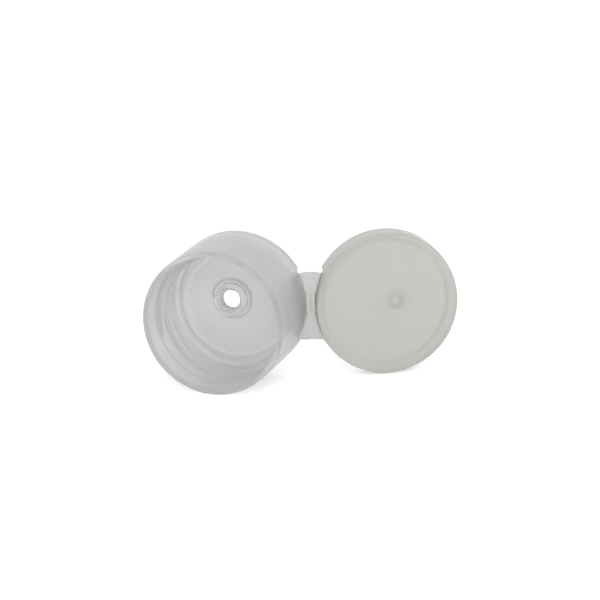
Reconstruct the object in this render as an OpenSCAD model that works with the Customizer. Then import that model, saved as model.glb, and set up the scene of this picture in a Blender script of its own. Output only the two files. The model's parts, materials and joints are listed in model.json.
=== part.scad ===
// Flip-top screw cap for a 24 mm bottle neck, moulded in one shot of natural polypropylene.
// The cap lies on its side, lid open, as it comes to rest on a table. The origin is the centre
// of the mouth, the thread axis runs along Y with the skirt towards +Y, and the lid stands on
// +X beyond an upright living hinge.

/* [Skirt] */
// Outer diameter at the parting line, where the lid meets the skirt
skirt_d = 26.5; // [25.6:0.1:30]
// How much wider the radius is at the mouth than at the parting line
skirt_draft = 0.1; // [0:0.05:0.3]
// Height from the parting line to the mouth
skirt_h = 16; // [14.5:0.5:20]
// Wall between the outer face and the root of the thread
skirt_wall = 1.15; // [1:0.05:1.4]
// Depth of the smooth lead-in at the mouth
land_h = 4; // [3:0.25:5]
// How much wider than the thread root the lead-in is, on the radius
land_relief = 0.2; // [0.16:0.02:0.3]
// Rounding of the mouth's outer edge
mouth_round = 0.25; // [0.1:0.05:0.35]

/* [Neck thread] */
// Rise of the thread in one turn
thread_pitch = 3.175; // [2.8:0.005:3.4]
// Height of the ridge over the root
thread_height = 0.95; // [0.6:0.05:1.1]
// Width of the ridge at its root
thread_root_w = 1.9; // [1.4:0.1:2.2]
// Width of the ridge at its crest
thread_crest_w = 0.7; // [0.4:0.1:1]
// Length of the ridge, in turns
thread_turns = 2.1; // [1.5:0.1:2.2]
// Where the ridge starts, counted from the hinge as seen into the mouth
thread_start = -160; // [-180:5:180]
// Angle over which the ridge fades out at each end
thread_fade = 26; // [15:1:45]

/* [Deck] */
// Thickness of the deck under the parting line
deck_t = 1.5; // [1.2:0.1:1.8]
// Fillet between the deck and the skirt's inside
deck_fillet = 0.7; // [0.3:0.1:1]
// Outer diameter of the seal ring that enters the bottle neck
seal_d = 20.2; // [18.5:0.1:20.6]
// Thickness of the seal ring at its root
seal_t = 1; // [0.8:0.05:1.3]
// How far the seal ring stands below the deck
seal_h = 1.15; // [0.8:0.05:1.4]
// Height of the raised seat inside the lid
seat_h = 0.9; // [0.6:0.1:1.2]
// Gap between the seat and the lid's inside, on the radius
seat_gap = 0.3; // [0.2:0.05:0.5]

/* [Nozzle] */
// Diameter of the orifice
orifice_d = 3.4; // [2.4:0.1:3.8]
// Distance of the orifice from the thread axis, away from the hinge
orifice_offset = 1.9; // [0:0.1:2.5]
// Diameter of the nozzle's rim
nozzle_d = 7.4; // [7:0.1:8.4]
// Height of the rim over the raised seat
nozzle_h = 1.5; // [1:0.1:1.6]
// Wall of the rim
rim_wall = 0.8; // [0.7:0.05:1]
// Height of the nozzle's floor over the raised seat, inside the rim
floor_h = 0.45; // [0.2:0.05:0.6]
// Thickness of the floor round the orifice
floor_t = 0.85; // [0.8:0.05:1.1]
// Diameter of the hollow under the floor
hollow_d = 5.2; // [4.4:0.1:6]

/* [Lid] */
// Height of the lid from its rim to its flat top
lid_h = 4; // [3.8:0.1:5]
// Wall of the lid at its rim
lid_wall = 1.5; // [1.3:0.05:1.7]
// Thickness of the lid's top
lid_top_t = 1.15; // [1:0.05:1.3]
// How much narrower the radius is at the top than at the rim
lid_draft = 0.15; // [0:0.05:0.3]
// Rounding of the lid's outer edge
lid_round = 0.55; // [0.3:0.05:0.8]
// Gap between the closed lid's rim and the parting line
lid_gap = 0.05; // [0.02:0.01:0.1]
// Gap between the plug and the orifice, on the radius
plug_gap = 0.06; // [0.03:0.01:0.15]
// How far the plug reaches into the orifice
plug_reach = 0.75; // [0.5:0.05:0.9]
// Wall of the plug, which is hollow
plug_wall = 0.65; // [0.5:0.05:0.75]
// Diameter of the plug's collar
collar_d = 4.8; // [4.4:0.1:5.4]
// Height of the plug's collar
collar_h = 0.5; // [0.3:0.1:0.7]

/* [Snap catch] */
// Height of the catch ridges
catch_h = 0.18; // [0.1:0.02:0.24]
// Angle that the catch covers, opposite the hinge
catch_angle = 70; // [40:5:90]

/* [Living hinge] */
// Distance of the fold line from the skirt's outer face
hinge_offset = 0.25; // [0.15:0.05:0.5]
// Height of the web along the fold line
hinge_w = 12.4; // [9:0.2:14]
// Height of the thin strap in the middle of the web
strap_w = 3.2; // [2:0.2:4]
// Thickness of the film at the fold line
film_t = 0.3; // [0.2:0.05:0.4]
// Thickness of the web where it leaves the walls
web_t = 0.85; // [0.6:0.05:1]
// Depth of the recess round the web
recess = 0.45; // [0.3:0.05:0.6]
// Free height round the web, above and below it
recess_gap = 0.4; // [0.2:0.1:0.8]
// Depth of the recess down the skirt, from the parting line
skirt_recess_h = 3; // [1.5:0.1:4]
// Depth of the recess into the lid, from its rim
lid_recess_h = 2.4; // [1.5:0.1:2.8]
// How far the lid is open, 0 shut and 180 flat
lid_open = 151; // [0:1:180]

/* [Hidden] */
eps = 0.01;
fold_gap = 0.02;                    // clear of the fold line on each side
round_steps = 5;                    // facets of a small rounding
thread_steps = 32;                  // rings of the thread in one turn
thread_bite = 0.2;                  // how deep the ridge is rooted in the wall
blunt_end = 0.3;                    // share of the ridge's height at its very ends
thread_clear = 0.4;                 // from the lead-in to the ridge
web_bite = 0.4;                     // how deep the web is rooted in the walls
fold_land = 0.35;                   // width of the film on each side of the fold line
strap_groove = 0.4;                 // width of the groove on each side of the strap's film
skirt_r = skirt_d / 2;
root_r = skirt_r - skirt_wall;
land_r = root_r + land_relief;
mouth_r = skirt_r + skirt_draft;
crest_r = root_r - thread_height;
seal_r = seal_d / 2;
lid_inner_r = skirt_r - lid_wall;
lid_deep = lid_h - lid_top_t;       // depth of the lid's inside
seat_r = lid_inner_r - seat_gap;
nozzle_r = nozzle_d / 2;
orifice_r = orifice_d / 2;
well_r = nozzle_r - rim_wall;
floor_top = seat_h + floor_h;       // over the parting line
nozzle_top = min(seat_h + nozzle_h, lid_gap + lid_deep - 0.3);      // clear of the lid's ceiling
plug_r = orifice_r - plug_gap;
plug_h = lid_gap + lid_deep - floor_top + plug_reach;
core_r = plug_r - plug_wall;
hinge_x = skirt_r + hinge_offset;
thread_low = skirt_h - land_h - thread_root_w / 2 - thread_clear;   // depth of the ridge's first point
$fn = 96;

// Quarter round about c, from angle a to b
function arc(c, r, a, b, n = round_steps) =
    [for (i = [0 : n]) c + r * [cos(a + (b - a) * i / n), sin(a + (b - a) * i / n)]];

// Height of the ridge at step t of n, faded at both ends
function fade(t, n) =
    let (turn = 360 * thread_turns * min(t, n - t) / n)
    turn >= thread_fade ? 1 : blunt_end + (1 - blunt_end) * sin(90 * turn / thread_fade);

// The pieces are drawn mouth up, with the parting line at 0 and the mouth at skirt_h on Z
module lay_down() {
    translate([0, skirt_h, 0]) rotate([90, 0, 0]) children();
}

// Skirt and deck as one turned profile
module skirt_shell() {
    inner_top = deck_t + deck_fillet;
    step = land_relief + 0.1;
    rotate_extrude()
        polygon(concat(
            [[0, 0], [skirt_r - 0.15, 0], [skirt_r, 0.15]],
            arc([mouth_r - mouth_round, skirt_h - mouth_round], mouth_round, 0, 90),
            [[land_r, skirt_h], [land_r, skirt_h - land_h], [root_r, skirt_h - land_h - step]],
            arc([root_r - deck_fillet, inner_top], deck_fillet, 0, -90),
            [[0, deck_t]]));
}

// Right-handed ridge that the bottle neck screws into
module neck_thread() {
    n = round(thread_steps * thread_turns);
    rings = [for (i = [0 : n])
        let (a = thread_start - 360 * thread_turns * i / n,
             z = thread_low - thread_pitch * thread_turns * i / n,
             f = fade(i, n),
             tip = root_r - thread_height * f,
             half = (thread_crest_w + (thread_root_w - thread_crest_w) * (1 - f) / 2) / 2)
        [for (p = [[root_r + thread_bite, thread_root_w / 2], [tip, half],
                   [tip, -half], [root_r + thread_bite, -thread_root_w / 2]])
            [p[0] * cos(a), p[0] * sin(a), z + p[1]]]];
    points = [for (ring = rings) each ring];
    sides = [for (i = [0 : n - 1], k = [0 : 3])
        let (m = (k + 1) % 4)
        each [[4 * i + k, 4 * i + 4 + k, 4 * i + m], [4 * i + m, 4 * i + 4 + k, 4 * i + 4 + m]]];
    polyhedron(points, concat([[1, 2, 3], [0, 1, 3]], sides,
        [[4 * n + 2, 4 * n + 1, 4 * n], [4 * n + 3, 4 * n + 2, 4 * n]]), convexity = 8);
}

// Ring under the deck that seals in the neck's bore, with a lead-in on its outside
module seal_ring() {
    tip = deck_t + seal_h;
    rotate_extrude()
        polygon([[seal_r - seal_t - 0.1, deck_t - eps], [seal_r + 0.1, deck_t - eps],
                 [seal_r, deck_t + 0.2], [seal_r, tip - 0.35], [seal_r - 0.3, tip],
                 [seal_r - seal_t + 0.35, tip], [seal_r - seal_t + 0.1, tip - 0.3]]);
}

// Raised seat on the deck, with the catch ridge that the lid snaps over
module seat() {
    rotate_extrude()
        polygon([[0, eps], [seat_r, eps], [seat_r, 0.25 - seat_h], [seat_r - 0.25, -seat_h], [0, -seat_h]]);
    catch_arc()
        rotate_extrude()
            polygon([[seat_r - 0.4, 0.15 - seat_h], [seat_r - 0.05, 0.15 - seat_h],
                     [seat_r + catch_h, 0.4 - seat_h], [seat_r - 0.4, 0.7 - seat_h]]);
}

// Keeps the stretch of a ring that lies opposite the hinge
module catch_arc() {
    reach = skirt_d;
    half = reach * tan(catch_angle / 2);
    intersection() {
        children();
        translate([0, 0, -lid_h])
            linear_extrude(2 * lid_h)
                polygon([[0, 0], [-reach, -half], [-reach, half]]);
    }
}

// Standing rim round the orifice, rounded on top, with a floor inside it
module nozzle_rim() {
    edge = rim_wall / 2 - 0.05;
    translate([-orifice_offset, 0, 0])
        rotate_extrude()
            polygon(concat(
                [[0, eps - seat_h], [nozzle_r + 0.3, eps - seat_h], [nozzle_r, -seat_h - 0.2]],
                arc([nozzle_r - edge, edge - nozzle_top], edge, 0, -90),
                arc([well_r + edge, edge - nozzle_top], edge, -90, -180),
                [[well_r, -floor_top - 0.2], [well_r - 0.2, -floor_top], [0, -floor_top]]));
}

// Bell-shaped hollow under the floor, and the orifice through it
module nozzle_bore() {
    bell_r = hollow_d / 2;
    roof = floor_t - floor_top;
    bell_h = deck_t - roof;
    translate([-orifice_offset, 0, 0]) {
        translate([0, 0, -nozzle_top - 1]) cylinder(r = orifice_r, h = nozzle_top + 1 + deck_t);
        rotate_extrude()
            polygon(concat([[0, roof]],
                [for (i = [0 : 8]) let (a = 90 * i / 8)
                    [orifice_r + (bell_r - orifice_r) * sin(a), roof + bell_h * (1 - cos(a))]],
                [[bell_r + 0.3, deck_t + 0.3], [0, deck_t + 0.3]]));
    }
}

// Half of the hinge web, from inside the wall to the fold line, thinning towards it
module web_half() {
    root = skirt_r - recess - web_bite;
    inner = sqrt(pow(root, 2) - pow(hinge_w / 2, 2)) - eps;
    fold = hinge_x - fold_gap;
    profile = [[inner, fold_gap], [fold, fold_gap], [fold, film_t], [fold - fold_land, film_t + 0.1],
               [skirt_r - recess, web_t], [inner, web_t]];
    difference() {
        rotate([90, 0, 0])
            linear_extrude(hinge_w, center = true) polygon(profile);
        translate([0, 0, -1]) cylinder(r = root, h = web_t + 2);
        // the strap in the middle is thinner than the wings above and below it
        translate([fold - fold_land - strap_groove, -strap_w / 2, film_t])
            cube([strap_groove, strap_w, web_t]);
    }
}

// Shallow recess in the wall that gives the folded web room
module hinge_recess(height) {
    w = hinge_w + 2 * recess_gap;
    difference() {
        translate([skirt_r / 2, -w / 2, -eps]) cube([skirt_r, w, height + eps]);
        translate([0, 0, -1]) cylinder(r = skirt_r - recess, h = height + 2);
    }
}

module screw_base() {
    color([0.80, 0.81, 0.79])
        lay_down()
            difference() {
                union() {
                    difference() {
                        skirt_shell();
                        hinge_recess(skirt_recess_h);
                    }
                    neck_thread();
                    seal_ring();
                    seat();
                    nozzle_rim();
                    web_half();
                }
                nozzle_bore();
            }
}

// The lid as it leaves the mould, rim at the parting line and centred on its own axis
module lid_shell() {
    top_r = skirt_r - lid_draft;
    rotate_extrude()
        polygon(concat(
            [[lid_inner_r + 0.1, lid_gap], [skirt_r - 0.1, lid_gap], [skirt_r, lid_gap + 0.1]],
            arc([top_r - lid_round, lid_h - lid_round], lid_round, 0, 90),
            [[0, lid_h], [0, lid_deep]],
            arc([lid_inner_r - 0.45, lid_deep - 0.4], 0.4, 90, 0)));
}

// Ridge inside the lid's wall that snaps under the catch of the seat
module lid_catch() {
    catch_arc()
        rotate_extrude()
            polygon([[lid_inner_r + 0.4, 0.1], [lid_inner_r + 0.03, 0.1],
                     [seat_r + 0.06, 0.28], [seat_r + 0.06, 0.36], [lid_inner_r + 0.4, 0.6]]);
}

// Hollow plug that closes the orifice, on a low collar
module plug() {
    tip = lid_deep - plug_h;
    core_end = lid_deep - collar_h / 2;
    translate([-orifice_offset, 0, 0])
        rotate_extrude()
            polygon([[0, lid_deep + eps], [collar_d / 2, lid_deep + eps], [collar_d / 2 - 0.1, lid_deep - collar_h],
                     [plug_r + 0.05, lid_deep - collar_h - 0.1], [plug_r, tip + 0.55],
                     [plug_r - 0.3, tip], [core_r + 0.1, tip], [core_r, tip + 0.2],
                     [core_r, core_end - 0.2], [core_r - 0.2, core_end], [0, core_end]]);
}

module flip_lid() {
    color([0.79, 0.80, 0.77])
        lay_down()
            translate([hinge_x, 0, 0])
                rotate([0, 180 - lid_open, 0])
                    mirror([1, 0, 0])
                        translate([-hinge_x, 0, 0]) {
                            difference() {
                                lid_shell();
                                hinge_recess(lid_recess_h);
                            }
                            lid_catch();
                            plug();
                            web_half();
                        }
}

screw_base();
flip_lid();
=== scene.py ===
import json
import math

import bmesh
import bpy
from mathutils import Matrix, Vector


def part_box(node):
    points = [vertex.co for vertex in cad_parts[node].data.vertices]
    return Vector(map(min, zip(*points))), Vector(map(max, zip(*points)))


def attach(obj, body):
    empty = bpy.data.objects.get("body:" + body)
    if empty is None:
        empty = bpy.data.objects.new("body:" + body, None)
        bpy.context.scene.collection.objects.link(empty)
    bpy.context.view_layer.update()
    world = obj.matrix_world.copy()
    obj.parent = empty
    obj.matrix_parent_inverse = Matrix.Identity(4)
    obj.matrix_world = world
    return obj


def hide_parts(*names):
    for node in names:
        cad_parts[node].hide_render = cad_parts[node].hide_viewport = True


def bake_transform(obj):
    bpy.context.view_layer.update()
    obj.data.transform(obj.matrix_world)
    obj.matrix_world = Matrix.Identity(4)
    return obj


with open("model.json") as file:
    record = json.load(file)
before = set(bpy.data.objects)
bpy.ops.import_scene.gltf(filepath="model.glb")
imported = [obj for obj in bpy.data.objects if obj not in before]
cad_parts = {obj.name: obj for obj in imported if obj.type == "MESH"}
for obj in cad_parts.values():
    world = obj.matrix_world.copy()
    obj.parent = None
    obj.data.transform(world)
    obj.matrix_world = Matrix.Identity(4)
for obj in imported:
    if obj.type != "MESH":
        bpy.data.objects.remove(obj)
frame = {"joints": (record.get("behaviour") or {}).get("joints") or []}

# Lengths are in millimetres up to the point where a mesh is made.
mm = 0.001
softIndex = 1.3  # under the plastic's own 1.49, for the softening that its scattering gives
fullTurn = 2 * math.pi


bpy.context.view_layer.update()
hinge = frame["joints"][0]
foldX = hinge["pos_m"][0] / mm                     # the fold line stands upright here
partingY = hinge["pos_m"][1] / mm                  # plane where the lid meets the skirt
lidTilt = math.radians(-hinge["range_deg"][0])     # how far the lid stands from flat open
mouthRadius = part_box("screw_base")[1].z / mm
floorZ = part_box("screw_base")[0].z
print("frame loaded, fold line at", round(foldX, 3), "parting plane at", round(partingY, 3))


# What base and lid share: they close on each other and hang on the same web.
cap = {
    "skirtRadius": 13.25,
    "nozzleOffset": 1.9,       # away from the hinge
    "seatHeight": 0.9,
    "floorTop": 1.35,          # floor of the nozzle, inside its rim
    "nozzleTop": 2.4,
    "orificeRadius": 1.7,
    "recess": 0.45,            # how deep the wall is cut back behind the web
    "recessHalf": 6.6,         # half its height
    "catchHalfAngle": 35,      # the snap ridges lie opposite the hinge
    "columns": 300,
}


# Rows along a path of (radius, depth, centre, rounding), with each corner rounded off.
def filletRows(corners, steps=4, support=0.04):
    rows = []
    count = len(corners)
    for i, (r, d, centre, rounding) in enumerate(corners):
        here = Vector((r, d))
        before = Vector(corners[i - 1][:2])
        after = Vector(corners[(i + 1) % count][:2])
        toBefore = (before - here).normalized()
        toAfter = (after - here).normalized()
        turn = math.pi - toBefore.angle(toAfter)
        reach = rounding * math.tan(turn / 2)
        start = here + toBefore * reach
        end = here + toAfter * reach
        rows.append((*(start + toBefore * support), centre))
        bends = steps if rounding else 0
        for k in range(bends + 1):
            t = k / max(1, bends)
            point = start * (1 - t) ** 2 + here * 2 * t * (1 - t) + end * t ** 2
            rows.append((*point, centre))
        rows.append((*(end + toAfter * support), centre))
    return rows


# Adds rows every step along the straight wall of that radius between two depths.
def splitRows(rows, low, high, radius, step):
    done = []
    for here, after in zip(rows, rows[1:] + rows[:1]):
        done.append(here)
        onWall = abs(here[0] - radius) < 0.02 and abs(after[0] - radius) < 0.02
        inBand = low <= min(here[1], after[1]) and max(here[1], after[1]) <= high
        gap = abs(after[1] - here[1])
        if onWall and inBand and gap > step:
            n = math.ceil(gap / step)
            for k in range(1, n):
                t = k / n
                done.append(tuple(a + (b - a) * t for a, b in zip(here, after)))
    return done


# Even angles round the axis, with a close pair at each edge of a cut.
def columnAngles(edges):
    angles = [fullTurn * i / cap["columns"] for i in range(cap["columns"])]
    halfGap = math.radians(0.18)
    for edge in edges:
        near = math.radians(0.7)
        angles = [a for a in angles if abs((a - edge + math.pi) % fullTurn - math.pi) > near]
        angles += [(edge - halfGap) % fullTurn, (edge + halfGap) % fullTurn]
    return sorted(angles)


# Turns rows into rings and skins them. shape changes one point's radius and depth, place puts it in the frame.
def latticeMesh(name, rows, angles, shape, place, closed):
    mesh = bpy.data.meshes.new(name)
    bm = bmesh.new()
    rings = []
    for row in rows:
        if row[0] < 1e-6:
            rings.append([bm.verts.new(place(row[2], 0, row[1]))])
            continue
        ring = []
        for angle in angles:
            r, d = shape(row, angle)
            ring.append(bm.verts.new(place(row[2] + r * math.cos(angle), r * math.sin(angle), d)))
        rings.append(ring)
    count = len(angles)
    pairs = list(zip(rings, rings[1:]))
    if closed:
        pairs.append((rings[-1], rings[0]))
    for low, high in pairs:
        for i in range(count):
            k = (i + 1) % count
            if len(low) == 1:
                bm.faces.new((low[0], high[i], high[k]))
            elif len(high) == 1:
                bm.faces.new((low[i], high[0], low[k]))
            else:
                bm.faces.new((low[i], high[i], high[k], low[k]))
    bmesh.ops.recalc_face_normals(bm, faces=bm.faces)
    for face in bm.faces:
        face.smooth = True
    bm.to_mesh(mesh)
    bm.free()
    piece = bpy.data.objects.new(name, mesh)
    bpy.context.scene.collection.objects.link(piece)
    return piece


# Angle from the hinge's side, 0 to pi.
def offHinge(angle):
    return abs((angle + math.pi) % fullTurn - math.pi)


def easeStep(x, low, high):
    t = min(1, max(0, (x - low) / (high - low)))
    return t * t * (3 - 2 * t)


recessAngle = math.asin(cap["recessHalf"] / (cap["skirtRadius"] - cap["recess"] / 2))


# 1 inside the recess behind the web, 0 outside it.
def cutBack(angle):
    halfGap = math.radians(0.2)
    return 1 - easeStep(offHinge(angle), recessAngle - halfGap, recessAngle + halfGap)


# 1 along the snap ridges, running out to 0 at their ends.
def catchShare(angle):
    fromMiddle = math.pi - offHinge(angle)
    edge = math.radians(cap["catchHalfAngle"])
    return 1 - easeStep(fromMiddle, edge - math.radians(4), edge)


base = {
    "landRadius": 12.3,
    "landDepth": 4,
    "rootRadius": 12.1,
    "deck": 1.5,
    "deckFillet": 0.7,
    "seatRadius": 11.45,
    "sealRadius": 10.1,
    "sealThick": 1.0,
    "sealTip": 2.65,
    "nozzleRadius": 3.7,
    "wellRadius": 2.9,
    "bellRadius": 2.6,
    "bellRoof": -0.5,
    "recessDepth": 3,
    "catch": 0.18,
    "boreStep": 0.13,
    # strength of the painted shade on the deck
    "deckShade": 0.5,
    "ridgeTop": -0.75,  # the seat's snap ridge, from here
    "ridgeFoot": -0.4,  # to here
}


def basePlace(x, side, depth):
    return Vector((x * mm, (partingY - depth) * mm, side * mm))


def baseShape(row, angle):
    r, d, centre = row
    if r > cap["skirtRadius"] - cap["recess"] - 0.3 and centre == 0 and d < base["recessDepth"] + 0.06:
        depthShare = 1 - easeStep(d, base["recessDepth"] - 0.05, base["recessDepth"] + 0.05)
        outside = easeStep(r, base["seatRadius"] + 0.5, cap["skirtRadius"] - 0.4)
        r -= cap["recess"] * cutBack(angle) * depthShare * outside
    if abs(r - base["seatRadius"]) < 0.3 and base["ridgeTop"] < d < base["ridgeFoot"]:
        rise = min((d - base["ridgeTop"]) / 0.25, (base["ridgeFoot"] - d) / 0.1)
        r += base["catch"] * rise * catchShare(angle)
    return r, d


def makeBaseShell():
    s = base
    nozzle = -cap["nozzleOffset"]
    skirt = cap["skirtRadius"]
    top = -cap["seatHeight"]
    corners = [
        (cap["orificeRadius"], s["bellRoof"], nozzle, 0.08),
        (cap["orificeRadius"], -cap["floorTop"], nozzle, 0.1),
        (s["wellRadius"], -cap["floorTop"], nozzle, 0.2),
        (s["wellRadius"], -cap["nozzleTop"], nozzle, 0.35),
        (s["nozzleRadius"], -cap["nozzleTop"], nozzle, 0.35),
        (s["nozzleRadius"], top - 0.2, nozzle, 0.1),
        (s["nozzleRadius"] + 0.3, top, nozzle, 0.15),
        (s["seatRadius"] - 0.25, top, 0, 0.12),
        (s["seatRadius"], top + 0.25, 0, 0.1),
        (s["seatRadius"], s["ridgeFoot"] - 0.1, 0, 0),
        (s["seatRadius"], s["ridgeFoot"], 0, 0),
        (s["seatRadius"], 0, 0, 0.08),
        (skirt, 0, 0, 0.15),
        (skirt + 0.018, s["recessDepth"], 0, 0),
        (mouthRadius, partingY, 0, 0.3),
        (s["landRadius"], partingY, 0, 0.45),
        (s["landRadius"], partingY - s["landDepth"], 0, 0.2),
        (s["rootRadius"], partingY - s["landDepth"] - 0.3, 0, 0.2),
        (s["rootRadius"], s["deck"], 0, s["deckFillet"]),
        (s["sealRadius"] + 0.1, s["deck"], 0, 0.12),
        (s["sealRadius"], s["deck"] + 0.2, 0, 0.1),
        (s["sealRadius"], s["sealTip"] - 0.35, 0, 0.15),
        (s["sealRadius"] - 0.3, s["sealTip"], 0, 0.12),
        (s["sealRadius"] - s["sealThick"] + 0.35, s["sealTip"], 0, 0.1),
        (s["sealRadius"] - s["sealThick"] + 0.1, s["sealTip"] - 0.3, 0, 0.12),
        (s["sealRadius"] - s["sealThick"] - 0.1, s["deck"], 0, 0.15),
        (s["bellRadius"], s["deck"], nozzle, 0.25),
        (s["bellRadius"], s["deck"] - 0.83, nozzle, 2.6),
        (cap["orificeRadius"] + 0.37, s["bellRoof"], nozzle, 0.44),
    ]
    rows = filletRows(corners)
    rows = splitRows(rows, s["deck"], partingY - s["landDepth"], s["rootRadius"], s["boreStep"])
    edges = [recessAngle, fullTurn - recessAngle]
    return latticeMesh("base_shell", rows, columnAngles(edges), baseShape, basePlace, closed=True)


baseShell = makeBaseShell()
print("base shell:", len(baseShell.data.polygons), "faces")


# The ridge that the bottle's neck screws into, raised out of the bore by a rule.
thread = {
    "Pitch": 3.175 * mm,
    "Height": 0.95 * mm,
    "Turns": 2.1,
    "Start angle": -160,
    "First depth": 10.65 * mm,
    "Root width": 1.9 * mm,
    "Crest width": 0.7 * mm,
    "Fade": 26,
    "Blunt end": 0.3,
    "Bore radius": base["rootRadius"] * mm,
    "Parting plane": partingY * mm,
}


# Short names for the math nodes of one tree.
class TreeMath:

    def __init__(self, tree):
        self.tree = tree

    def put(self, node, index, value):
        if isinstance(value, bpy.types.NodeSocket):
            self.tree.links.new(value, node.inputs[index])
        else:
            node.inputs[index].default_value = value

    def do(self, operation, *values, clamp=False):
        node = self.tree.nodes.new("ShaderNodeMath")
        node.operation = operation
        node.use_clamp = clamp
        for i, value in enumerate(values):
            self.put(node, i, value)
        return node.outputs[0]


def threadTree():
    tree = bpy.data.node_groups.new("neck thread", "GeometryNodeTree")
    tree.interface.new_socket("Geometry", in_out="INPUT", socket_type="NodeSocketGeometry")
    for name, value in thread.items():
        socket = tree.interface.new_socket(name, in_out="INPUT", socket_type="NodeSocketFloat")
        socket.default_value = value
    tree.interface.new_socket("Geometry", in_out="OUTPUT", socket_type="NodeSocketGeometry")
    nodes, links = tree.nodes, tree.links
    given = nodes.new("NodeGroupInput")
    size = given.outputs
    m = TreeMath(tree).do
    position = nodes.new("GeometryNodeInputPosition")
    parts = nodes.new("ShaderNodeSeparateXYZ")
    links.new(position.outputs[0], parts.inputs[0])
    x, y, z = parts.outputs
    depth = m("SUBTRACT", size["Parting plane"], y)
    angle = m("DEGREES", m("ARCTAN2", z, x))
    # how far along the ridge this point lies, in turns
    share = m("FRACT", m("DIVIDE", m("SUBTRACT", size["Start angle"], angle), 360))
    behind = m("SUBTRACT", m("DIVIDE", m("SUBTRACT", size["First depth"], depth), size["Pitch"]), share)
    along = m("ADD", share, m("ROUND", behind))
    ridgeDepth = m("SUBTRACT", size["First depth"], m("MULTIPLY", size["Pitch"], along))
    away = m("ABSOLUTE", m("SUBTRACT", depth, ridgeDepth))
    # full height inside, easing down to the blunt ends
    toEnd = m("MINIMUM", along, m("SUBTRACT", size["Turns"], along))
    fade = m("DIVIDE", m("MULTIPLY", toEnd, 360), size["Fade"], clamp=True)
    eased = m("SINE", m("MULTIPLY", fade, math.pi / 2))
    rise = m("ADD", size["Blunt end"], m("MULTIPLY", m("SUBTRACT", 1, size["Blunt end"]), eased))
    endCap = m("MULTIPLY", m("ADD", toEnd, 0.004), 250, clamp=True)
    # the ridge's section, a trapezium with eased corners
    profile = nodes.new("ShaderNodeMapRange")
    profile.interpolation_type = "SMOOTHSTEP"
    links.new(away, profile.inputs["Value"])
    links.new(m("MULTIPLY", size["Root width"], 0.5), profile.inputs["From Min"])
    links.new(m("MULTIPLY", size["Crest width"], 0.5), profile.inputs["From Max"])
    height = m("MULTIPLY", m("MULTIPLY", profile.outputs["Result"], size["Height"]), m("MULTIPLY", rise, endCap))
    inward = m("MULTIPLY", m("DIVIDE", height, size["Bore radius"]), -1)
    offset = nodes.new("ShaderNodeCombineXYZ")
    links.new(m("MULTIPLY", x, inward), offset.inputs[0])
    links.new(m("MULTIPLY", z, inward), offset.inputs[2])
    band = nodes.new("GeometryNodeInputNamedAttribute")
    band.data_type = "FLOAT"
    band.inputs["Name"].default_value = "bore"
    move = nodes.new("GeometryNodeSetPosition")
    links.new(size["Geometry"], move.inputs["Geometry"])
    links.new(m("GREATER_THAN", band.outputs[0], 0.5), move.inputs["Selection"])
    links.new(offset.outputs[0], move.inputs["Offset"])
    realize = nodes.new("GeometryNodeRealizeInstances")
    links.new(move.outputs[0], realize.inputs[0])
    finish = nodes.new("GeometryNodeSetMaterial")
    links.new(realize.outputs[0], finish.inputs["Geometry"])
    links.new(finish.outputs[0], nodes.new("NodeGroupOutput").inputs[0])
    return tree, finish


# Runs a geometry tree on a piece and keeps the result as its plain mesh.
def applyTree(piece, tree, values):
    modifier = piece.modifiers.new(tree.name, "NODES")
    modifier.node_group = tree
    for item in tree.interface.items_tree:
        if item.in_out == "INPUT" and item.name in values:
            modifier[item.identifier] = values[item.name]
    depsgraph = bpy.context.evaluated_depsgraph_get()
    mesh = bpy.data.meshes.new_from_object(piece.evaluated_get(depsgraph))
    piece.modifiers.clear()
    piece.data = mesh


# Flags the bore's wall between lead-in and deck fillet, where the thread may rise.
def markBore(piece):
    low = (partingY - base["deck"] - base["deckFillet"] + 0.02) * mm
    high = (base["landDepth"] + 0.3) * mm
    flag = piece.data.attributes.new("bore", "FLOAT", "POINT")
    for i, vertex in enumerate(piece.data.vertices):
        x, y, z = vertex.co
        radius = math.hypot(x, z)
        onWall = abs(radius - base["rootRadius"] * mm) < 0.03 * mm
        flag.data[i].value = 1.0 if onWall and high < y < low else 0.0


# Writes a share from 0 to 1 on every point of a piece, for its material to read.
def markPoints(piece, name, share):
    flag = piece.data.attributes.new(name, "FLOAT", "POINT")
    for i, vertex in enumerate(piece.data.vertices):
        flag.data[i].value = share(vertex.co / mm)


# Painted shade: the deck with all that stands on it is darkened more than the skirt's wall.
def deckShadeShare(point):
    radius = math.hypot(point.x, point.z)
    depth = partingY - point.y
    return base["deckShade"] * (1 - easeStep(depth, 1.9, 3.2)) * (1 - easeStep(radius, 12.1, 12.6))


# The nozzle was moulded against a polished pin, so it is shinier than the rest.
def nozzleShare(point):
    radius = math.hypot(point.x + cap["nozzleOffset"], point.z)
    reach = base["bellRadius"] if point.y < partingY else base["nozzleRadius"]
    return 1 - easeStep(radius, reach, reach + 0.25)


lid = {
    "height": 4,
    "deep": 2.85,
    "gap": 0.05,
    "innerRadius": 11.75,
    "ridgeEdge": 0.1,  # the lid's snap ridge, from here
    "ridgeEnd": 0.47,  # to here
    "draft": 0.15,
    "edgeRound": 0.55,
    "recessDepth": 2.4,
    "catchReach": 0.26,
    "plugRadius": 1.64,
    "plugTip": 0.55,
    "coreRadius": 0.99,        # the plug is hollow
    "coreEnd": 2.6,
    "collarRadius": 2.4,
    "collarHeight": 0.5,
}


# Turns a point of the flat-open lid about the fold line to its place at rest.
def turnLid(x, y):
    u, v = x - foldX, y - partingY
    return (foldX + u * math.cos(lidTilt) - v * math.sin(lidTilt),
            partingY + u * math.sin(lidTilt) + v * math.cos(lidTilt))


def lidPlace(x, side, depth):
    x, y = turnLid(2 * foldX - x, partingY - depth)
    return Vector((x * mm, y * mm, side * mm))


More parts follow.
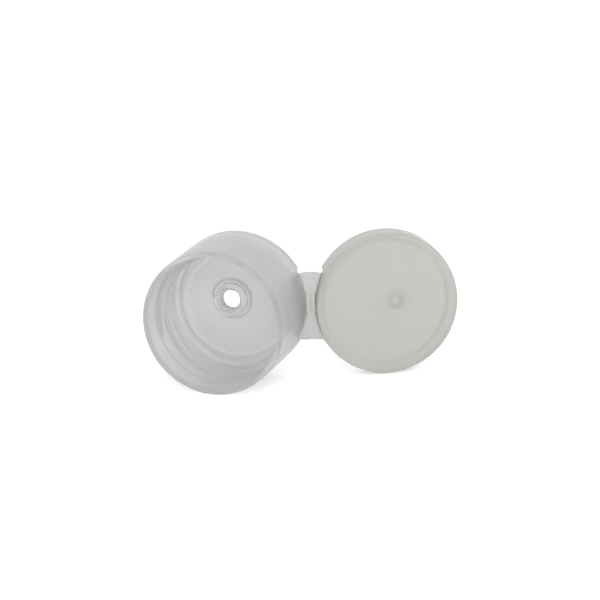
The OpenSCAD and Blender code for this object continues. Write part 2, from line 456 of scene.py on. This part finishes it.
def lidShape(row, angle):
    r, d, centre = row
    outer = r > lid["innerRadius"] + 0.5
    if outer and centre == 0 and d < lid["recessDepth"] + 0.06:
        depthShare = 1 - easeStep(d, lid["recessDepth"] - 0.05, lid["recessDepth"] + 0.05)
        outside = easeStep(r, lid["innerRadius"] + 0.3, cap["skirtRadius"] - 0.4)
        r -= cap["recess"] * cutBack(angle) * depthShare * outside
    if abs(r - lid["innerRadius"]) < 0.2 and lid["ridgeEdge"] < d < lid["ridgeEnd"]:
        rise = min(1, (lid["ridgeEnd"] - d) / 0.11, (d - lid["ridgeEdge"]) / 0.18)
        r -= lid["catchReach"] * rise * catchShare(angle)
    return r, d


def makeLidShell():
    s = lid
    plug = -cap["nozzleOffset"]
    skirt = cap["skirtRadius"]
    inner = s["innerRadius"]
    topRadius = skirt - s["draft"]
    corners = [
        (s["coreRadius"], s["coreEnd"], plug, 0.25),
        (s["coreRadius"] + 0.02, s["plugTip"], plug, 0.1),
        (s["plugRadius"] - 0.3, s["plugTip"], plug, 0.1),
        (s["plugRadius"], s["plugTip"] + 0.55, plug, 0.3),
        (s["plugRadius"] + 0.05, s["deep"] - s["collarHeight"] - 0.1, plug, 0.08),
        (s["collarRadius"] - 0.1, s["deep"] - s["collarHeight"], plug, 0.1),
        (s["collarRadius"], s["deep"], plug, 0.08),
        (inner - 0.05, s["deep"], 0, 0.4),
        (inner + 0.02, s["ridgeEnd"], 0, 0),
        (inner + 0.03, 0.36, 0, 0),
        (inner + 0.04, 0.28, 0, 0),
        (inner + 0.06, s["ridgeEdge"], 0, 0),
        (inner + 0.1, s["gap"], 0, 0.03),
        (skirt, s["gap"], 0, 0.1),
        (skirt - 0.06, s["recessDepth"], 0, 0),
        (topRadius, s["height"], 0, s["edgeRound"]),
    ]
    rows = [(0, s["coreEnd"], plug)] + filletRows(corners) + [(0, s["height"], 0)]
    edges = [recessAngle, fullTurn - recessAngle]
    return latticeMesh("lid_shell", rows, columnAngles(edges), lidShape, lidPlace, closed=False)


lidShell = makeLidShell()
print("lid shell:", len(lidShell.data.polygons), "faces")


# The film that joins the two, thin along the fold, with a thinner strap in its middle.
web = {
    "low": -6.5,
    "high": 6.2,
    "strapMiddle": 0.3,
    "strapHalf": 1.6,
    "film": 0.3,
    "root": 0.85,
    "foldLand": 0.35,
    "grooveEnd": 0.75,
    "bite": 0.4,
    "rows": 96,
    "arch": 0.4,               # the upper edge is arched by this much
    # strengths of the painted shade on the web's wings and grooves
    "wingShade": 0.5,
    "grooveShade": 0.25,
}


# 1 in the thin grooves of the strap, on both sides of the fold.
def strapGroove(u, side):
    reach = abs(u)
    fromMiddle = abs(side - web["strapMiddle"])
    inStrap = 1 - easeStep(fromMiddle, web["strapHalf"] - 0.08, web["strapHalf"] + 0.08)
    inGroove = easeStep(reach, web["foldLand"] - 0.04, web["foldLand"] + 0.04)
    return inStrap * inGroove * (1 - easeStep(reach, web["grooveEnd"] - 0.04, web["grooveEnd"] + 0.04))


def webThickness(u, side):
    reach = abs(u)
    wallAt = foldX - cap["skirtRadius"] + cap["recess"]
    t = web["film"] + 0.1 * easeStep(reach, 0.08, web["foldLand"])
    t += (web["root"] - web["film"] - 0.1) * easeStep(reach, web["foldLand"], wallAt)
    return t - (t - web["film"]) * strapGroove(u, side)


# How strongly painted shade darkens the web: most along the fold of the strap, least in its grooves.
def webShade(u, side):
    fromMiddle = abs(side - web["strapMiddle"])
    inStrap = 1 - easeStep(fromMiddle, web["strapHalf"] - 0.1, web["strapHalf"] + 0.4)
    onLand = 1 - easeStep(abs(u), 0.12, web["foldLand"])
    share = web["wingShade"] + (1 - web["wingShade"]) * inStrap * onLand
    return share - (share - web["grooveShade"]) * strapGroove(u, side)


# A point of the web in the frame, with its lid half turned up as a film bends.
def webPlace(u, side, depth):
    bend = web["foldLand"] * 0.6
    share = min(1, max(-1, u / bend))
    angle = lidTilt * (share + 1) / 2
    # the film's middle follows a short arc between the two flat halves
    if u <= -bend:
        x, y = u, 0
    else:
        # arc length from -bend to u with the angle growing evenly
        run = min(u, bend) + bend
        rate = lidTilt / (2 * bend)
        x = -bend + math.sin(rate * run) / rate
        y = (1 - math.cos(rate * run)) / rate
        if u > bend:
            x += (u - bend) * math.cos(lidTilt)
            y += (u - bend) * math.sin(lidTilt)
    x += depth * math.sin(angle)
    y -= depth * math.cos(angle)
    return Vector(((foldX + x) * mm, (partingY + y) * mm, side * mm))


def makeWeb():
    s = web
    bm = bmesh.new()
    wallRadius = cap["skirtRadius"] - cap["recess"] - s["bite"]
    inner = [0.0, 0.08, 0.16, 0.24, 0.31, 0.39, 0.5, 0.6, 0.71, 0.79]
    shares = [0.15, 0.4, 0.7, 1.0]
    grids = {"front": [], "back": []}
    shade = []
    for j in range(s["rows"] + 1):
        side = s["low"] + (s["high"] - s["low"]) * j / s["rows"]
        end = foldX - math.sqrt(wallRadius ** 2 - side ** 2)
        reach = inner + [inner[-1] + (end - inner[-1]) * k for k in shares]
        across = [-u for u in reversed(reach[1:])] + reach
        lines = {"front": [], "back": []}
        for u in across:
            # the upper edge drops a little away from the fold
            lower = s["arch"] * min(1, abs(u) / 2.0) ** 2 * easeStep(side, s["high"] * 0.6, s["high"])
            lines["back"].append(bm.verts.new(webPlace(u, side - lower, 0.02)))
            lines["front"].append(bm.verts.new(webPlace(u, side - lower, webThickness(u, side))))
            # share of painted shade, for the back and the front point
            shade += [webShade(u, side)] * 2
        for key in grids:
            grids[key].append(lines[key])
    for key in grids:
        grid = grids[key]
        for a, b in zip(grid, grid[1:]):
            for i in range(len(a) - 1):
                bm.faces.new((a[i], a[i + 1], b[i + 1], b[i]))
    front, back = grids["front"], grids["back"]
    for edge in (0, -1):
        for i in range(len(front[0]) - 1):
            bm.faces.new((front[edge][i], front[edge][i + 1], back[edge][i + 1], back[edge][i]))
        for j in range(len(front) - 1):
            bm.faces.new((front[j][edge], front[j + 1][edge], back[j + 1][edge], back[j][edge]))
    bmesh.ops.recalc_face_normals(bm, faces=bm.faces)
    for face in bm.faces:
        face.smooth = True
    mesh = bpy.data.meshes.new("hinge_web")
    bm.to_mesh(mesh)
    bm.free()
    mesh.set_sharp_from_angle(angle=math.radians(50))
    flag = mesh.attributes.new("shade", "FLOAT", "POINT")
    flag.data.foreach_set("value", shade)
    piece = bpy.data.objects.new("hinge_web", mesh)
    bpy.context.scene.collection.objects.link(piece)
    return piece


hingeWeb = makeWeb()
print("hinge web:", len(hingeWeb.data.polygons), "faces")


# Finish: one group makes the faint cloudiness and moulding texture of natural polypropylene, and multiplies
# painted shade into the colour where a piece's mark asks for it.
def hazeAndShadeGroup():
    group = bpy.data.node_groups.new("moulded haze and painted shade", "ShaderNodeTree")
    for name, kind, value in [
        ("Pale", "NodeSocketColor", (0.8, 0.8, 0.8, 1)),
        ("Deep", "NodeSocketColor", (0.7, 0.7, 0.7, 1)),
        ("Cloud size", "NodeSocketFloat", 120.0),
        ("Grain size", "NodeSocketFloat", 3000.0),
        ("Smooth", "NodeSocketFloat", 0.3),
        ("Rough", "NodeSocketFloat", 0.4),
        # the next two paint shade into the colour, as far as the mark's share goes
        ("Shade", "NodeSocketFloat", 0.0),
        ("Shade tint", "NodeSocketColor", (0.8, 0.8, 0.8, 1)),
        ("Polish", "NodeSocketFloat", 0.0),
        ("Polished", "NodeSocketFloat", 0.1),
    ]:
        socket = group.interface.new_socket(name, in_out="INPUT", socket_type=kind)
        socket.default_value = value
    group.interface.new_socket("Color", in_out="OUTPUT", socket_type="NodeSocketColor")
    group.interface.new_socket("Roughness", in_out="OUTPUT", socket_type="NodeSocketFloat")
    group.interface.new_socket("Height", in_out="OUTPUT", socket_type="NodeSocketFloat")
    nodes, links = group.nodes, group.links
    given = nodes.new("NodeGroupInput").outputs
    out = nodes.new("NodeGroupOutput").inputs
    place = nodes.new("ShaderNodeTexCoord").outputs["Object"]
    cloud = nodes.new("ShaderNodeTexNoise")
    cloud.inputs["Detail"].default_value = 3
    links.new(place, cloud.inputs["Vector"])
    links.new(given["Cloud size"], cloud.inputs["Scale"])
    grain = nodes.new("ShaderNodeTexNoise")
    grain.inputs["Detail"].default_value = 2
    links.new(place, grain.inputs["Vector"])
    links.new(given["Grain size"], grain.inputs["Scale"])
    mix = nodes.new("ShaderNodeMix")
    mix.data_type = "RGBA"
    links.new(cloud.outputs["Fac"], mix.inputs["Factor"])
    links.new(given["Deep"], mix.inputs["A"])
    links.new(given["Pale"], mix.inputs["B"])
    # painted shade: the colour is multiplied by the tint as far as the mark says
    shadeTint = nodes.new("ShaderNodeMix")
    shadeTint.data_type = "RGBA"
    shadeTint.blend_type = "MULTIPLY"
    links.new(given["Shade"], shadeTint.inputs["Factor"])
    links.new(mix.outputs["Result"], shadeTint.inputs["A"])
    links.new(given["Shade tint"], shadeTint.inputs["B"])
    links.new(shadeTint.outputs["Result"], out["Color"])
    m = TreeMath(group).do
    spread = m("SUBTRACT", given["Rough"], given["Smooth"])
    rough = m("ADD", given["Smooth"], m("MULTIPLY", spread, cloud.outputs["Fac"]))
    drop = m("MULTIPLY", m("SUBTRACT", rough, given["Polished"]), given["Polish"])
    links.new(m("SUBTRACT", rough, drop), out["Roughness"])
    links.new(m("ADD", m("MULTIPLY", cloud.outputs["Fac"], 0.8), m("MULTIPLY", grain.outputs["Fac"], 0.2)),
              out["Height"])
    return group


hazeAndShade = hazeAndShadeGroup()


def polypropylene(name, look):
    material = bpy.data.materials.new(name)
    material.use_nodes = True
    nodes, links = material.node_tree.nodes, material.node_tree.links
    shader = nodes["Principled BSDF"]
    group = nodes.new("ShaderNodeGroup")
    group.node_tree = hazeAndShade
    for key in ("Pale", "Deep", "Shade tint"):
        group.inputs[key].default_value = (*look[key], 1)
    # the first mark paints shade into the colour, the second makes the nozzle shinier
    for mark in ("Shade", "Polish"):
        share = nodes.new("ShaderNodeAttribute")
        share.attribute_name = mark.lower()
        links.new(share.outputs["Fac"], group.inputs[mark])
    for key in ("Cloud size", "Grain size", "Smooth", "Rough", "Polished"):
        group.inputs[key].default_value = look[key]
    # painted light: a wall seen edge on is mixed towards white, so it isn't darker
    m = TreeMath(material.node_tree).do
    facing = nodes.new("ShaderNodeLayerWeight").outputs["Facing"]
    edgeLightMix = nodes.new("ShaderNodeMix")
    edgeLightMix.data_type = "RGBA"
    links.new(m("MULTIPLY", m("POWER", facing, look["paintedEdgeLightTurn"]), look["paintedEdgeLight"]), edgeLightMix.inputs["Factor"])
    links.new(group.outputs["Color"], edgeLightMix.inputs["A"])
    edgeLightMix.inputs["B"].default_value = (1, 1, 1, 1)
    links.new(edgeLightMix.outputs["Result"], shader.inputs["Base Color"])
    links.new(group.outputs["Roughness"], shader.inputs["Roughness"])
    bump = nodes.new("ShaderNodeBump")
    bump.inputs["Strength"].default_value = look["bump"]
    bump.inputs["Distance"].default_value = 0.05 * mm
    links.new(group.outputs["Height"], bump.inputs["Height"])
    links.new(bump.outputs["Normal"], shader.inputs["Normal"])
    shader.inputs["IOR"].default_value = softIndex
    shader.inputs["Specular IOR Level"].default_value = look["shine"]
    shader.inputs["Transmission Weight"].default_value = look["transmission"]
    return material


naturalLook = {
    "Pale": (0.755, 0.755, 0.747),
    "Deep": (0.735, 0.735, 0.727),
    # colour of the painted shade
    "Shade tint": (0.76, 0.76, 0.745),
    "Cloud size": 150.0,
    "Grain size": 4000.0,
    "Smooth": 0.3,
    "Rough": 0.42,
    "bump": 0.12,
    "transmission": 0.7,
    "Polished": 0.2,
    "shine": 0.8,
    # painted light on walls seen edge on
    "paintedEdgeLight": 0.9,
    "paintedEdgeLightTurn": 1.5,
}
lidLook = {
    "Pale": (0.66, 0.665, 0.63),
    "Deep": (0.64, 0.645, 0.61),
    "Shade tint": (1, 1, 1),
    "Cloud size": 150.0,
    "Grain size": 4000.0,
    "Smooth": 0.14,
    "Rough": 0.2,
    "bump": 0.12,
    "transmission": 0.34,
    "Polished": 0.1,
    "shine": 0.5,
    # painted light on walls seen edge on
    "paintedEdgeLight": 0.15,
    "paintedEdgeLightTurn": 1.5,
}
naturalPlastic = polypropylene("natural polypropylene", naturalLook)
lidPlastic = polypropylene("natural polypropylene, lid", lidLook)

markBore(baseShell)
# painted shade on the deck
markPoints(baseShell, "shade", deckShadeShare)
markPoints(baseShell, "polish", nozzleShare)
threadNodes, threadFinish = threadTree()
threadFinish.inputs["Material"].default_value = naturalPlastic
applyTree(baseShell, threadNodes, thread)
print("neck thread raised:", len(baseShell.data.polygons), "faces")

baseShell.data.materials.clear()
baseShell.data.materials.append(naturalPlastic)
lidShell.data.materials.append(lidPlastic)
hingeWeb.data.materials.append(naturalPlastic)

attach(baseShell, "base")
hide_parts("screw_base")
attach(lidShell, "lid")
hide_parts("flip_lid")
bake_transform(hingeWeb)
print("pieces set on their bodies")


# Camera at the photograph's place, a long lens a metre away.
view = {
    "azimuth": 18.2,
    "elevation": 15.6,
    "roll": -1.84,
    "distance": 939.8,
    "lens": 308.35,
    "target": (10.39, 19.33, -0.28),
}


def makeCamera():
    camera = bpy.data.objects.new("camera", bpy.data.cameras.new("camera"))
    bpy.context.scene.collection.objects.link(camera)
    turn = (Matrix.Rotation(math.radians(view["azimuth"]), 3, "Z")
            @ Matrix.Rotation(math.radians(90 - view["elevation"]), 3, "X")
            @ Matrix.Rotation(math.radians(view["roll"]), 3, "Z"))
    target = Vector(view["target"]) * mm
    camera.matrix_world = Matrix.Translation(target + turn @ Vector((0, 0, view["distance"] * mm))) @ turn.to_4x4()
    camera.data.lens = view["lens"]
    camera.data.clip_start = 0.05
    camera.data.clip_end = 20
    bpy.context.scene.camera = camera


makeCamera()


# White table and room. The key stands over the camera, so the cap's faint shadow falls behind it.
studio = {
    "floorRadius": 2.0,
    "floorColour": 0.94,
    "floorGlow": 0.42,
    "roomLight": 0.73,
    "roomSeen": 1.0,           # what the camera and the clear plastic see
    "keyAzimuth": 18.0,
    "keyElevation": 32.0,
    "keyWidth": 14.0,          # in degrees, as seen from the cap
    "keyStrength": 0.92,
}


def seenDirectly(nodes, m):
    path = nodes.new("ShaderNodeLightPath").outputs
    direct = m("MAXIMUM", path["Is Camera Ray"], path["Is Glossy Ray"])
    return m("MAXIMUM", direct, path["Is Transmission Ray"])


def makeFloor():
    bm = bmesh.new()
    bmesh.ops.create_circle(bm, cap_ends=True, radius=studio["floorRadius"], segments=96)
    mesh = bpy.data.meshes.new("floor")
    bm.to_mesh(mesh)
    bm.free()
    mesh.transform(Matrix.Translation((0, 0, floorZ)))
    floor = bpy.data.objects.new("floor", mesh)
    bpy.context.scene.collection.objects.link(floor)
    material = bpy.data.materials.new("white table")
    material.use_nodes = True
    nodes, links = material.node_tree.nodes, material.node_tree.links
    shader = nodes["Principled BSDF"]
    shader.inputs["Base Color"].default_value = (*[studio["floorColour"]] * 3, 1)
    shader.inputs["Roughness"].default_value = 0.9
    shader.inputs["Specular IOR Level"].default_value = 0
    shader.inputs["Emission Color"].default_value = (1, 1, 1, 1)
    m = TreeMath(material.node_tree).do
    links.new(m("MULTIPLY", seenDirectly(nodes, m), studio["floorGlow"]), shader.inputs["Emission Strength"])
    mesh.materials.append(material)


def makeRoom():
    world = bpy.data.worlds.new("room")
    bpy.context.scene.world = world
    world.use_nodes = True
    nodes, links = world.node_tree.nodes, world.node_tree.links
    background = nodes["Background"]
    m = TreeMath(world.node_tree).do
    seen = seenDirectly(nodes, m)
    background.inputs["Color"].default_value = (1, 1, 1, 1)
    extra = m("MULTIPLY", seen, studio["roomSeen"] - studio["roomLight"])
    links.new(m("ADD", extra, studio["roomLight"]), background.inputs["Strength"])


def makeKeyLight():
    light = bpy.data.lights.new("key", "SUN")
    light.angle = math.radians(studio["keyWidth"])
    light.energy = studio["keyStrength"]
    lamp = bpy.data.objects.new("key", light)
    azimuth, elevation = math.radians(studio["keyAzimuth"]), math.radians(studio["keyElevation"])
    level = math.cos(elevation)
    towards = Vector((math.sin(azimuth) * level, -math.cos(azimuth) * level, math.sin(elevation)))
    lamp.matrix_world = (-towards).to_track_quat("-Z", "Y").to_matrix().to_4x4()
    bpy.context.scene.collection.objects.link(lamp)


makeFloor()
makeRoom()
makeKeyLight()
bpy.context.scene.view_settings.view_transform = "Standard"
bpy.context.scene.cycles.transmission_bounces = 24
bpy.context.scene.cycles.max_bounces = 24
print("studio lit")
